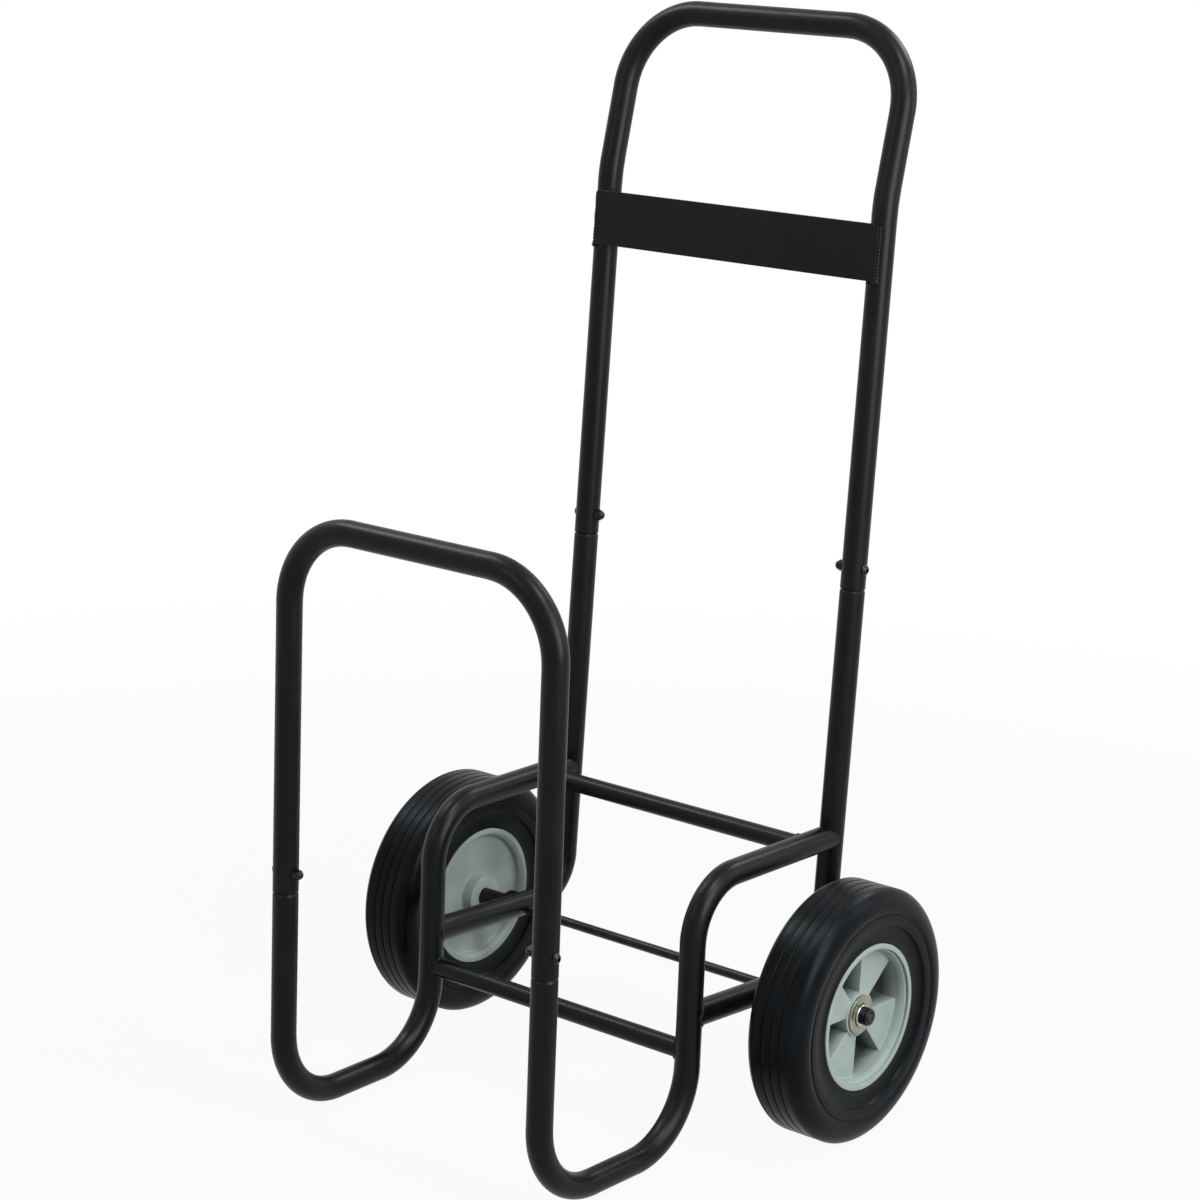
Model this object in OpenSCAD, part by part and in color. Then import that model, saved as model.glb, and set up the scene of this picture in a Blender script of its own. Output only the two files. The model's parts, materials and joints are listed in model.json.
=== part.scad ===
// Fireside log cart: bent tube frame, push handle, solid tyres on plastic hubs.
// X runs across the cart, +Y to the handle side, +Z up. Millimetres.
// The origin is on the floor, under the middle of the whole cart.

/* [Tube] */
// Outside diameter of the frame tube
tube_d = 25; // [22:1:28]
// Wall of the frame tube
tube_wall = 1.5; // [1.2:0.1:2]
// Distance between the centres of the front legs
frame_w = 324; // [280:2:400]
// How far each side runs outwards, from its front leg to its rear post
flare = 6.5; // [0:0.5:12]
// Outside diameter of the cross bars
bar_d = 19; // [14:1:21]
// Gap that the weld fills between two tubes
weld_gap = 0.3; // [0.2:0.1:0.5]

/* [Cradle] */
// Centre of the front legs to centre of the middle uprights
cradle_depth = 215; // [190:1:260]
// Centreline radius of the two bends at the floor
cradle_bend_r = 76; // [50:1:84]
// Height of the shelf tubes' centreline
shelf_h = 268; // [254:1:300]
// Centreline radius of the bend from upright to shelf
shelf_bend_r = 59; // [40:1:66]
// Height of the centre of the bar between the middle uprights
base_bar_h = 102; // [98:1:106]
// Shelf cross bar to the rear posts, centre to centre
shelf_bar_setback = 47; // [36:1:70]

/* [Front hoop] */
// Height of the seam between cradle tube and front hoop
front_seam_h = 235; // [200:1:280]
// Height of the front hoop over its top tube
front_h = 610; // [500:1:680]
// Centreline radius of the front hoop's corners
front_bend_r = 78; // [50:1:110]

/* [Rear posts and handle] */
// Middle uprights to axle
axle_setback = 142; // [128:1:156]
// Axle to the foot of the rear post
post_setback = 70; // [64:1:90]
// Centreline of the arm above the centre of the axle
arm_rise = 4; // [0:0.5:5]
// Centreline radius of the bend from arm to rear post
arm_bend_r = 45; // [35:1:50]
// Lean of the rear posts, in degrees
post_lean = 2.7; // [0:0.1:5]
// Height of the seam between rear post and handle
rear_seam_h = 520; // [460:1:570]
// Height where the handle kinks back
kink_h = 895; // [860:1:905]
// Extra lean above the kink, in degrees
kink_lean = 10; // [2:0.5:12]
// Centreline radius of the kink
kink_bend_r = 150; // [80:5:200]
// Height of the handle over its top tube
handle_h = 1069; // [1045:1:1100]
// Centreline radius of the handle's corners
handle_bend_r = 78; // [60:1:100]
// Height of the handle plate's middle
plate_mid_h = 848; // [790:1:852]
// Height of the handle plate, edge to edge
plate_h = 55; // [30:1:60]
// Thickness of the handle plate
plate_t = 2.5; // [2:0.5:4]
// Handle plate past the centre of each leg
plate_reach = 4.5; // [2:0.5:10]
// Corner radius of the handle plate
plate_corner_r = 2.5; // [1:0.5:5]

/* [Sleeve joints] */
// Length of the necked tube end inside a hoop leg
sleeve_l = 45; // [35:1:60]
// Length of the taper from the full tube to its neck
swage_l = 3; // [2:0.5:5]
// Radial gap between neck and hoop leg
sleeve_gap = 0.2; // [0.1:0.05:0.3]
// Joint bolt above the seam
joint_bolt_h = 20; // [14:1:28]

/* [Bolts] */
// Shank diameter of the frame bolts
bolt_d = 6; // [5:0.5:7]
// Radial gap round a frame bolt in its hole
bolt_gap = 0.3; // [0.2:0.05:0.5]
// Radial gap in a thread
thread_gap = 0.05; // [0.03:0.01:0.08]
// Head diameter of the frame bolts
bolt_head_d = 11; // [9:0.5:13]
// Head height of the frame bolts
bolt_head_h = 3.4; // [2.5:0.1:4.5]
// Width across the flats of the bolt's socket
socket_af = 4; // [3:0.5:4.5]
// Depth of the bolt's socket
socket_depth = 2; // [1:0.2:2.2]
// Width across the flats of the dome nuts
dome_nut_af = 10; // [9:0.5:12]
// Height of the dome nut's hexagon
dome_nut_hex_h = 4.5; // [3:0.5:6]
// Height of the dome nut's cap
dome_nut_cap_h = 4.5; // [4:0.5:6]
// Gap between a flat seat and the tube that it bears on
seat_gap = 0.2; // [0.1:0.05:0.3]
// Length of the threaded plug in a shelf tube's end
plug_l = 20; // [12:1:30]
// Plug's end face in front of the rear post
plug_inset = 1; // [0.5:0.5:4]

/* [Axle] */
// Diameter of the axle
axle_d = 10; // [9:0.5:12]
// Radial gap round the axle in the arms
axle_gap = 0.15; // [0.1:0.05:0.2]
// Radial running clearance of a bush on the axle
bush_gap = 0.08; // [0.04:0.01:0.1]
// Arm to tyre
wheel_gap = 36.5; // [34:0.5:60]
// End float of the wheel, each side
end_float = 0.4; // [0.3:0.1:0.8]
// Outside diameter of the inner washer
inner_washer_d = 30; // [24:1:36]
// Thickness of the inner washer
inner_washer_t = 3; // [2:0.5:4]
// Outside diameter of the spacer
spacer_d = 19; // [17:1:24]
// Outside diameter of the outer washer
outer_washer_d = 39; // [30:1:42]
// Thickness of the outer washer
outer_washer_t = 2; // [1.5:0.5:3]
// Outside diameter of the lock washer
lock_washer_d = 22; // [19:0.5:24]
// Thickness of the lock washer
lock_washer_t = 2.5; // [1.5:0.5:3.5]
// Width across the flats of the axle nut
axle_nut_af = 17; // [15:0.5:20]
// Height of the axle nut's hexagon
axle_nut_hex_h = 5; // [4:0.5:10]
// Height of the axle nut's collar
axle_nut_collar_h = 3; // [2:0.5:5]
// Axle past the nut
axle_end = 0.5; // [0.5:0.5:4]

/* [Wheel] */
// Diameter of the tyre
tyre_d = 254; // [246:1:262]
// Width of the tyre
tyre_w = 64.5; // [60:0.5:70]
// Width of the tread, out to its edge grooves
tread_w = 43; // [36:0.5:46]
// Radius where the sidewall is widest
bulge_r = 107.5; // [105:0.5:110]
// Radius of the inner edge of the sidewall's raised band
band_r = 92; // [88:0.5:95]
// Drop at the inner edge of the raised band
band_h = 2; // [1:0.5:3]
// Radius of the fine groove round the raised band
band_groove_r = 102.5; // [100:0.5:104]
// Depth of that groove
band_groove_depth = 0.8; // [0.4:0.1:1.2]
// Sidewall's hollow below the face of the hub's lip
hollow_depth = 2; // [1:0.5:3]
// Hub's lip proud of the tyre beside it
lip_proud = 1; // [0.5:0.1:1.5]
// Depth of the tread grooves
groove_depth = 1.4; // [0.8:0.1:2]
// Width of a tread groove
groove_w = 1.6; // [1:0.1:2.4]
// Outside diameter of the hub's lips
lip_d = 146; // [140:1:150]
// Width of the hub over its lips
hub_w = 55.5; // [52:0.5:57]
// Thickness of the lips
lip_t = 3.5; // [2.5:0.5:4]
// Height of the lips over the tyre's seat
lip_h = 4.5; // [3:0.5:6]
// Width of a lip's face, measured along the radius
lip_face = 5; // [4:0.5:6]
// Wall of the hub's rim below the tyre
rim_wall = 4; // [3:0.5:5]
// Gap between tyre and hub
tyre_gap = 0.2; // [0.1:0.05:0.3]
// Spoke face outboard of the middle of the wheel
spoke_out = 14; // [10:0.5:15]
// Depth of the pockets between the spokes
pocket_depth = 28; // [22:1:32]
// Floor of the pockets
web_t = 4; // [3:0.5:5]
// Number of spokes
spoke_count = 4; // [3:1:6]
// Share of each pitch that its spoke fills
spoke_share = 0.53; // [0.4:0.01:0.7]
// First spoke up from the rear, in degrees
spoke_angle = 64; // [0:1:90]
// Outside diameter of the hub's boss
boss_d = 44; // [40:1:48]
// Boss outboard of the middle of the wheel
boss_out = 16; // [15:0.5:17]
// Boss inboard of the middle of the wheel
boss_in = 31; // [27:1:32]
// Outside diameter of the bush
bush_d = 18; // [17:0.5:22]
// Radial gap between bush and hub
bush_seat_gap = 0.05; // [0.03:0.01:0.1]

/* [Hidden] */
$fn = 64;
// A bend's tube over the straight tube's radius, and a straight's end inside its bend
bend_swell = 0.1;
bend_lap = 0.5;
// How far a cut reaches past the face that it opens
cut_past = 1;
// Room past a bolt's end in its dome nut
bolt_end_room = 1;
// A nut's round top within its flats
nut_inset = 0.3;
// Chamfer at a nut's corners and at the ends of the axle
nut_chamfer = 1.2;
axle_chamfer = 0.5;
// Waist between a nut's hexagon and its collar
nut_waist = 0.8;
// Undercut behind a hub lip's face, and the slope below it
undercut = 0.7;
lip_edge_t = 1.4;
slope_l = 5;
// Sidewall's fall from its bulge to the band's inner edge
side_fall = 1.2;
// Arcs of the tyre's shoulder, on each side
shoulder_steps = 12;
tube_r = tube_d / 2;
bore_r = tube_r - tube_wall;
neck_r = bore_r - sleeve_gap;
side_x = frame_w / 2;
handle_x = side_x + flare;
wheel_r = tyre_d / 2;
axle_r = axle_d / 2;
bolt_r = bolt_d / 2;
axle_z = wheel_r;
// Where the centrelines of arm and rear post meet
foot_z = axle_z + arm_rise - post_setback * tan(post_lean);
runner_z = tube_r + bend_swell;
front_top = front_h - tube_r;
handle_top = handle_h - tube_r;
top_lean = post_lean + kink_lean;
sides = [-1, 1];

// Places along the cart, first from the front legs and then from the origin
post_from_front = cradle_depth + axle_setback + post_setback;
kink_from_front = post_from_front + (kink_h - foot_z) * tan(post_lean);
top_from_front = kink_from_front + (handle_top - kink_h) * tan(top_lean);
wheel_reach = cradle_depth + axle_setback + wheel_r;
front_y = (tube_r - max(wheel_reach, top_from_front + tube_r)) / 2;
mid_y = front_y + cradle_depth;
axle_y = mid_y + axle_setback;
post_foot_y = front_y + post_from_front;
toe = atan(flare / (post_y(shelf_h) - front_y));

// Across the cart, from the arm outwards
arm_face = side_at(axle_y) + tube_r / cos(toe);
wheel_x = arm_face + wheel_gap + tyre_w / 2;
boss_outer_x = wheel_x + boss_out;
boss_inner_x = wheel_x - boss_in;
outer_washer_x = boss_outer_x + end_float;
lock_washer_x = outer_washer_x + outer_washer_t;
axle_nut_x = lock_washer_x + lock_washer_t;
axle_end_x = axle_nut_x + axle_nut_hex_h + axle_nut_collar_h + axle_end;
inner_washer_x = arm_face + seat_gap + inner_washer_d / 2 * tan(toe);
spacer_x = inner_washer_x + inner_washer_t;

groove_pitch = (tread_w - groove_w) / 4;
tyre_seat_r = lip_d / 2 - lip_h;
rim_inner_r = tyre_seat_r - rim_wall;

FRAME_PAINT = [0.10, 0.11, 0.12];
BLACK_STEEL = [0.07, 0.07, 0.08];
ZINC = [0.78, 0.76, 0.68];
STEEL = [0.62, 0.63, 0.65];
RUBBER = [0.13, 0.14, 0.16];
HUB_PLASTIC = [0.66, 0.71, 0.70];

// Y of the rear post's centreline at a height
function post_y(z) = post_foot_y + (z - foot_z) * tan(post_lean);

// X of a side's lower tubes, where each runs outwards towards the rear
function side_at(y) = side_x + (y - front_y) * tan(toe);

// Point on the rear post's centreline, a distance along it above a height, as [y, z]
function post_point(z, up) = [post_y(z) + up * sin(post_lean), z + up * cos(post_lean)];

// Length that a bend takes from the straight on either side of its corner
function trim(radius, angle) = radius * tan(angle / 2);

module ring(outer_r, inner_r) {
  difference() {
    circle(outer_r);
    circle(inner_r);
  }
}

// Rod along +X from the origin, bent as its table says. Each row is a straight run, then a roll
// about the rod, the bend's angle towards +Y and its radius. The last row is a run alone.
// A bend is a hair fatter than the runs that end inside it. Both free ends reach past by `extra`.
module bent_rod(table, r, extra = 0, i = 0) {
  run = table[i][0];
  is_last = i == len(table) - 1;
  before = i == 0 ? extra : bend_lap;
  after = is_last ? extra : bend_lap;
  translate([-before, 0, 0]) rotate([0, 90, 0]) cylinder(h = before + run + after, r = r);
  if (!is_last) {
    roll = table[i][1];
    angle = table[i][2];
    radius = table[i][3];
    translate([run, 0, 0])
      rotate([roll, 0, 0])
        translate([0, radius, 0]) {
          rotate([0, 0, -90])
            rotate_extrude(angle = angle)
              translate([radius, 0])
                circle(r + bend_swell);
          rotate([0, 0, angle])
            translate([0, -radius, 0])
              bent_rod(table, r, extra, i + 1);
        }
  }
}

// Frame tube, open at both ends, bent as its table says
module bent_tube(table) {
  difference() {
    bent_rod(table, tube_r);
    bent_rod(table, bore_r, cut_past);
  }
}

// Rod along X, between two places
module cross_rod(x0, x1, y, z, r) {
  translate([x0, y, z]) rotate([0, 90, 0]) cylinder(h = x1 - x0, r = r);
}

// Places its children, drawn along +Y, on the outward run of a side tube
module on_side(s, x, y, z) {
  translate([s * x, y, z]) rotate([0, 0, -s * toe]) children();
}

// Necked end of a tube, up from its seam
module swaged_end() {
  rotate_extrude()
    polygon([
      [neck_r, sleeve_l], [neck_r, 0], [tube_r, -swage_l],
      [bore_r, -swage_l], [neck_r - tube_wall, 0], [neck_r - tube_wall, sleeve_l]
    ]);
}

// Cylinder about the rear post's centreline
module post_axis(x, r) {
  translate([x, post_foot_y, foot_z])
    rotate([-post_lean, 0, 0])
      cylinder(h = rear_seam_h, r = r);
}

// Spherical cap on the XY plane
module cap(r, h) {
  sphere_r = (r * r + h * h) / (2 * h);
  intersection() {
    translate([0, 0, h - sphere_r]) sphere(sphere_r);
    cylinder(h = h, r = r);
  }
}

module hexagon(af, h) {
  cylinder(h = h, d = af / cos(30), $fn = 6);
}

// Button head bolt with its head above the XY plane and its shank below
module button_bolt(length) {
  difference() {
    union() {
      cap(bolt_head_d / 2, bolt_head_h);
      translate([0, 0, -length]) cylinder(h = length, r = bolt_r);
    }
    translate([0, 0, bolt_head_h - socket_depth]) hexagon(socket_af, bolt_head_h);
  }
}

// Dome nut with its flat face on the XY plane
module dome_nut() {
  difference() {
    union() {
      hexagon(dome_nut_af, dome_nut_hex_h);
      translate([0, 0, dome_nut_hex_h]) cap(dome_nut_af / 2 - nut_inset, dome_nut_cap_h);
    }
    translate([0, 0, -cut_past])
      cylinder(h = dome_nut_hex_h + bolt_end_room + cut_past, r = bolt_r + thread_gap);
  }
}

// Lock nut on the XY plane: a chamfered hexagon, a waist and a round collar
module lock_nut() {
  corner_r = axle_nut_af / 2 / cos(30);
  collar_r = axle_nut_af / 2 - nut_inset;
  nut_h = axle_nut_hex_h + axle_nut_collar_h;
  intersection() {
    rotate_extrude()
      polygon([
        [axle_r + thread_gap, 0], [corner_r - nut_chamfer, 0], [corner_r, nut_chamfer / 2],
        [corner_r, axle_nut_hex_h - nut_chamfer / 2], [corner_r - nut_chamfer, axle_nut_hex_h],
        [collar_r - nut_waist, axle_nut_hex_h], [collar_r, axle_nut_hex_h + nut_waist],
        [collar_r, nut_h - nut_chamfer], [collar_r - nut_chamfer, nut_h],
        [axle_r + thread_gap, nut_h]
      ]);
    hexagon(axle_nut_af, nut_h);
  }
}

module washer(x, outer_d, thickness) {
  translate([x, axle_y, axle_z])
    rotate([0, 90, 0])
      linear_extrude(thickness) ring(outer_d / 2, axle_r + thread_gap);
}

// Places its children, which point along +Z, outwards on both ends of the axle
module both_ends() {
  for (s = sides) mirror([s < 0 ? 1 : 0, 0, 0]) children();
}

module front_hoop() {
  leg = front_top - front_seam_h - front_bend_r;
  color(FRAME_PAINT)
    difference() {
      translate([-side_x, front_y, front_seam_h])
        rotate([0, -90, 0])
          bent_tube([
            [leg, -90, 90, front_bend_r],
            [frame_w - 2 * front_bend_r, 0, 90, front_bend_r],
            [leg]
          ]);
      joint_holes(side_x, [front_y, front_seam_h + joint_bolt_h]);
    }
}

// Bolt holes across both side tubes at x, at a place along the cart and a height
module joint_holes(x, place) {
  for (s = sides)
    cross_rod(s * x - tube_d, s * x + tube_d, place[0], place[1], bolt_r + bolt_gap);
}

// Front leg, runner, middle upright and shelf tube, bent from one length
module cradle_tube(s) {
  leg_end = front_seam_h - swage_l;
  color(FRAME_PAINT)
    difference() {
      union() {
        on_side(s, side_x, front_y, leg_end)
          rotate([0, 90, 0])
            bent_tube([
              [leg_end - runner_z - cradle_bend_r, 0, 90, cradle_bend_r],
              [cradle_depth / cos(toe) - 2 * cradle_bend_r, 0, 90, cradle_bend_r],
              [shelf_h - runner_z - cradle_bend_r - shelf_bend_r, 180, 90, shelf_bend_r],
              [(post_y(shelf_h) - mid_y) / cos(toe) - shelf_bend_r]
            ]);
        on_side(s, side_x, front_y, front_seam_h) swaged_end();
      }
      joint_holes(side_x, [front_y, front_seam_h + joint_bolt_h]);
      post_axis(s * handle_x, tube_r + weld_gap);
    }
}

// Arm and rear post, bent square from one length and leaned together, with the arm coped to the
// middle upright
module rear_post(s) {
  arm = (post_foot_y - mid_y) / cos(post_lean) / cos(toe);
  arm_x = s * side_at(axle_y);
  length = (rear_seam_h - foot_z) / cos(post_lean);
  color(FRAME_PAINT)
    difference() {
      translate([s * handle_x, post_foot_y, foot_z])
        rotate([-post_lean, 0, 0])
          rotate([0, 0, -s * toe]) {
            translate([0, -arm, 0])
              rotate([90, 0, 90])
                bent_tube([[arm - arm_bend_r, 0, 90, arm_bend_r], [length - swage_l - arm_bend_r]]);
            translate([0, 0, length]) swaged_end();
          }
      joint_holes(handle_x, post_point(rear_seam_h, joint_bolt_h));
      translate([s * side_at(mid_y), mid_y, 0]) cylinder(h = shelf_h, r = tube_r + weld_gap);
      cross_rod(arm_x - tube_d, arm_x + tube_d, axle_y, axle_z, axle_r + axle_gap);
      on_side(s, handle_x, post_y(shelf_h), shelf_h)
        rotate([90, 0, 0])
          cylinder(h = 2 * tube_d, r = bolt_r + bolt_gap, center = true);
    }
}

module handle_hoop() {
  seam = post_point(rear_seam_h, 0);
  neck = trim(kink_bend_r, kink_lean);
  leg = (kink_h - rear_seam_h) / cos(post_lean) - neck;
  rise = (handle_top - kink_h) / cos(top_lean) - neck - handle_bend_r;
  color(FRAME_PAINT)
    difference() {
      translate([-handle_x, seam[0], seam[1]])
        rotate([-post_lean, 0, 0])
          rotate([0, -90, 0])
            bent_tube([
              [leg, 0, kink_lean, kink_bend_r],
              [rise, -90, 90, handle_bend_r],
              [2 * (handle_x - handle_bend_r), 0, 90, handle_bend_r],
              [rise, 90, kink_lean, kink_bend_r],
              [leg]
            ]);
      joint_holes(handle_x, post_point(rear_seam_h, joint_bolt_h));
    }
}

// Strip across the front of the handle's legs
module handle_plate() {
  half_w = handle_x + plate_reach;
  color(FRAME_PAINT)
    translate([0, post_y(plate_mid_h), plate_mid_h])
      rotate([90 - post_lean, 0, 0])
        translate([0, 0, tube_r + weld_gap])
          linear_extrude(plate_t)
            union() {
              square([2 * half_w, plate_h - 2 * plate_corner_r], center = true);
              square([2 * (half_w - plate_corner_r), plate_h], center = true);
              for (sx = sides, sy = sides)
                translate([sx * (half_w - plate_corner_r), sy * (plate_h / 2 - plate_corner_r)])
                  circle(plate_corner_r);
            }
}

// Straight bar between the side tubes, before its ends are coped
module cross_bar(y, z) {
  translate([-side_at(y), y, z])
    rotate([0, 90, 0])
      linear_extrude(2 * side_at(y)) ring(bar_d / 2, bar_d / 2 - tube_wall);
}

module base_cross_bar() {
  color(FRAME_PAINT)
    difference() {
      cross_bar(mid_y, base_bar_h);
      for (s = sides)
        translate([s * side_at(mid_y), mid_y, 0]) cylinder(h = shelf_h, r = tube_r + weld_gap);
    }
}

module shelf_cross_bar() {
  color(FRAME_PAINT)
    difference() {
      cross_bar(post_y(shelf_h) - shelf_bar_setback, shelf_h);
      for (s = sides)
        on_side(s, side_at(mid_y), mid_y, shelf_h)
          rotate([-90, 0, 0])
            cylinder(h = axle_setback + post_setback, r = tube_r + weld_gap);
    }
}

// Button head bolts through both side tubes at x, heads outside
module joint_bolts(x, place) {
  color(BLACK_STEEL)
    for (s = sides)
      translate([s * (x + tube_r + seat_gap), place[0], place[1]])
        rotate([0, s * 90, 0])
          button_bolt(tube_d + 2 * seat_gap + dome_nut_hex_h);
}

// Dome nuts on those bolts, inside the cart
module joint_nuts(x, place) {
  color(BLACK_STEEL)
    for (s = sides)
      translate([s * (x - tube_r - seat_gap), place[0], place[1]])
        rotate([0, -s * 90, 0])
          dome_nut();
}

module shelf_bolts() {
  head = tube_r / cos(post_lean) + seat_gap;
  color(BLACK_STEEL)
    for (s = sides)
      on_side(s, handle_x, post_y(shelf_h), shelf_h)
        translate([0, head, 0])
          rotate([-90, 0, 0])
            button_bolt(head + tube_r + plug_inset + plug_l);
}

module shelf_plugs() {
  color(BLACK_STEEL)
    for (s = sides)
      on_side(s, handle_x, post_y(shelf_h), shelf_h)
        translate([0, -tube_r - plug_inset, 0])
          rotate([90, 0, 0])
            linear_extrude(plug_l) ring(bore_r - thread_gap, bolt_r + thread_gap);
}

module axle() {
  end_r = axle_r - axle_chamfer;
  full_x = axle_end_x - axle_chamfer;
  color(BLACK_STEEL)
    translate([0, axle_y, axle_z])
      rotate([0, 90, 0])
        rotate_extrude()
          polygon([
            [0, -axle_end_x], [end_r, -axle_end_x], [axle_r, -full_x],
            [axle_r, full_x], [end_r, axle_end_x], [0, axle_end_x]
          ]);
}

module inner_washers() {
  color(BLACK_STEEL) both_ends() washer(inner_washer_x, inner_washer_d, inner_washer_t);
}

module axle_spacers() {
  color(BLACK_STEEL)
    both_ends() washer(spacer_x, spacer_d, boss_inner_x - end_float - spacer_x);
}

module outer_washers() {
  color(ZINC) both_ends() washer(outer_washer_x, outer_washer_d, outer_washer_t);
}

module lock_washers() {
  color(ZINC) both_ends() washer(lock_washer_x, lock_washer_d, lock_washer_t);
}

module axle_nuts() {
  color(BLACK_STEEL)
    both_ends()
      translate([axle_nut_x, axle_y, axle_z])
        rotate([0, 90, 0])
          lock_nut();
}

// Puts a wheel part, drawn about +Z with its outer side up, on one end of the axle
module on_wheel(s) {
  translate([s * wheel_x, axle_y, axle_z])
    rotate([0, 0, s > 0 ? 0 : 180])
      rotate([0, 90, 0])
        children();
}

// Half of the tyre's section, [radius, distance from the middle], from the seat to the tread
function tyre_side() =
  let (
    half = tyre_w / 2,
    lip_z = hub_w / 2,
    bead = lip_z - lip_t - tyre_gap,
    seat = tyre_seat_r + tyre_gap,
    lip_edge = lip_d / 2 + tyre_gap,
    edge = tread_w / 2,
    rise = wheel_r - bulge_r,
    hollow_slope = (band_r - lip_edge) / 3
  )
  concat(
    [
      [seat, 0], [seat, bead], [lip_edge, bead], [lip_edge, lip_z - lip_proud],
      [lip_edge + hollow_slope, lip_z - hollow_depth],
      [band_r - band_h, half - side_fall - band_h], [band_r, half - side_fall],
      [band_groove_r - band_groove_depth, half - side_fall / 2],
      [band_groove_r, half - side_fall / 2 - band_groove_depth],
      [band_groove_r + band_groove_depth, half - side_fall / 2], [bulge_r, half]
    ],
    [for (i = [1 : shoulder_steps - 1])
      let (a = 90 * i / shoulder_steps)
      [bulge_r + rise * sin(a), edge + (half - edge) * cos(a)]]
  );

// Tread grooves as notches in the section, out from the middle
function tread_side() =
  concat(
    [for (k = [2 : -1 : 1]) each [
      [wheel_r, k * groove_pitch + groove_w / 2], [wheel_r - groove_depth, k * groove_pitch],
      [wheel_r, k * groove_pitch - groove_w / 2]
    ]],
    [[wheel_r, groove_w / 2], [wheel_r - groove_depth, 0]]
  );

module tyre(s) {
  half = concat(tyre_side(), tread_side());
  color(RUBBER)
    on_wheel(s)
      rotate_extrude()
        polygon(concat(half, [for (i = [len(half) - 2 : -1 : 1]) [half[i][0], -half[i][1]]]));
}

// Sector of a disc as a drawing, centred on the X axis
module sector(r, angle) {
  polygon([[0, 0], [r, -r * tan(angle / 2)], [r, r * tan(angle / 2)]]);
}

// Spoke wedges round the boss, as a drawing
module spoke_drawing() {
  intersection() {
    circle(rim_inner_r + rim_wall / 2);
    for (i = [0 : spoke_count - 1])
      rotate(spoke_angle + 90 + i * 360 / spoke_count)
        sector(2 * rim_inner_r, spoke_share * 360 / spoke_count);
  }
}

module hub(s) {
  half = hub_w / 2;
  lip_r = lip_d / 2;
  face_r = lip_r - lip_face;
  slope_r = (face_r + rim_inner_r) / 2;
  color(HUB_PLASTIC)
    on_wheel(s)
      difference() {
        union() {
          rotate_extrude()
            polygon([
              [rim_inner_r, -half + lip_t], [face_r, -half], [lip_r, -half],
              [lip_r, -half + lip_t], [tyre_seat_r, -half + lip_t], [tyre_seat_r, half - lip_t],
              [lip_r, half - lip_t], [lip_r, half], [face_r, half], [face_r, half - lip_edge_t],
              [face_r + undercut, half - lip_edge_t], [face_r + undercut, half - lip_t],
              [slope_r, half - lip_t], [rim_inner_r, half - lip_t - slope_l]
            ]);
          translate([0, 0, spoke_out - pocket_depth]) linear_extrude(pocket_depth) spoke_drawing();
          translate([0, 0, spoke_out - pocket_depth - web_t])
            cylinder(h = web_t, r = rim_inner_r + rim_wall / 2);
          translate([0, 0, -boss_in]) cylinder(h = boss_in + boss_out, d = boss_d);
        }
        translate([0, 0, -boss_in - cut_past])
          cylinder(h = boss_in + boss_out + 2 * cut_past, d = bush_d + 2 * bush_seat_gap);
      }
}

module bush(s) {
  color(STEEL)
    on_wheel(s)
      translate([0, 0, -boss_in])
        linear_extrude(boss_in + boss_out) ring(bush_d / 2, axle_r + bush_gap);
}

front_hoop();
cradle_tube(-1);  // cradle_tube_left
cradle_tube(1);  // cradle_tube_right
rear_post(-1);  // rear_post_left
rear_post(1);  // rear_post_right
handle_hoop();
handle_plate();
base_cross_bar();
shelf_cross_bar();
joint_bolts(side_x, [front_y, front_seam_h + joint_bolt_h]);  // front_joint_bolts
joint_nuts(side_x, [front_y, front_seam_h + joint_bolt_h]);  // front_joint_nuts
joint_bolts(handle_x, post_point(rear_seam_h, joint_bolt_h));  // rear_joint_bolts
joint_nuts(handle_x, post_point(rear_seam_h, joint_bolt_h));  // rear_joint_nuts
shelf_bolts();
shelf_plugs();
axle();
inner_washers();
axle_spacers();
outer_washers();
lock_washers();
axle_nuts();
tyre(-1);  // tyre_left
tyre(1);  // tyre_right
hub(-1);  // hub_left
hub(1);  // hub_right
bush(-1);  // bush_left
bush(1);  // bush_right
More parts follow.
